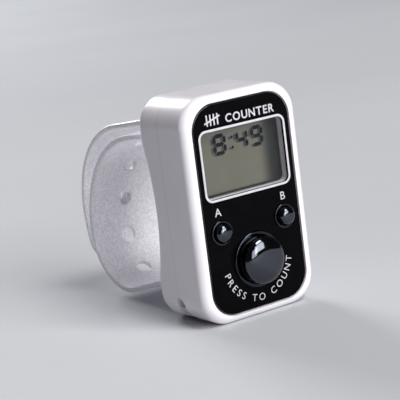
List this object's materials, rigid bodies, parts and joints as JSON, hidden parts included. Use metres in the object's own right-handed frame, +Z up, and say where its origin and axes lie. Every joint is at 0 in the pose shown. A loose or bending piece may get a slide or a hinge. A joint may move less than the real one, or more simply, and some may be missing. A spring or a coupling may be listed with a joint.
{
  "type": "hand tally counter",
  "caption": "Finger-worn tally counter: white rounded case, black glossy face with a liquid-crystal display, plated push buttons and a frosted adjustable finger strap.",
  "frame": {"origin": "middle of the flat bottom end of the case, half way through the case's depth", "axes": "+X to the right as seen from the front, +Y from the face to the back and into the finger strap, +Z up along the case; the face looks towards -Y"},
  "size_m": [0.0236, 0.0472, 0.0388],
  "materials": {
    "case_white": "glossy moulded ABS, faint lavender tint",
    "panel_clear": "clear acrylic plate, polished, bevelled edge",
    "mask_black": "black printed film behind the panel",
    "lcd_film": "grey-green polarising film",
    "lcd_glass": "thin display glass",
    "lcd_silver": "silvered diffusing film",
    "frame_white": "white moulded plastic",
    "strip_rubber": "layered conductive silicone rubber",
    "board_green": "solder-masked fibreglass board",
    "blob_black": "cured epoxy",
    "can_steel": "plain drawn steel",
    "ceramic_tan": "fired ceramic with tinned ends",
    "switch_black": "black moulded nylon",
    "plunger_plastic": "natural acetal",
    "button_plated": "dark bright plating on plastic",
    "ring_plated": "dark bright plating",
    "contact_brass": "sprung brass strip",
    "screw_steel": "zinc-plated steel",
    "strap_frosted": "frosted translucent soft polyurethane"
  },
  "bodies": {
    "case": {"front_shell": "case_white", "back_shell": "case_white", "face_panel": "panel_clear", "panel_mask": "mask_black", "lcd_front_film": "lcd_film", "lcd_glass": "lcd_glass", "lcd_reflector": "lcd_silver", "display_frame": "frame_white", "contact_strip": "strip_rubber", "circuit_board": "board_green", "chip_blob": "blob_black", "crystal": "can_steel", "capacitors": "ceramic_tan", "count_switch": "switch_black", "mode_switch": "switch_black", "set_switch": "switch_black", "count_ring": "ring_plated", "mode_ring": "ring_plated", "set_ring": "ring_plated", "battery": "can_steel", "negative_contact": "contact_brass", "positive_contact": "contact_brass", "case_screws": "screw_steel", "board_screws": "screw_steel", "outer_strap": "strap_frosted", "inner_strap": "strap_frosted"},
    "count_key": {"count_button": "button_plated", "count_plunger": "plunger_plastic"},
    "mode_key": {"mode_button": "button_plated", "mode_plunger": "plunger_plastic"},
    "set_key": {"set_button": "button_plated", "set_plunger": "plunger_plastic"}
  },
  "joints": [
    {"name": "count_press", "type": "slide", "parent": "case", "child": "count_key", "axis": [0, 1, 0], "range_m": [0, 0.0006], "stiffness_N_per_m": 1500, "springref_m": -0.0002},
    {"name": "mode_press", "type": "slide", "parent": "case", "child": "mode_key", "axis": [0, 1, 0], "range_m": [0, 0.0004], "stiffness_N_per_m": 1500, "springref_m": -0.0002},
    {"name": "set_press", "type": "slide", "parent": "case", "child": "set_key", "axis": [0, 1, 0], "range_m": [0, 0.0004], "stiffness_N_per_m": 1500, "springref_m": -0.0002}
  ]
}
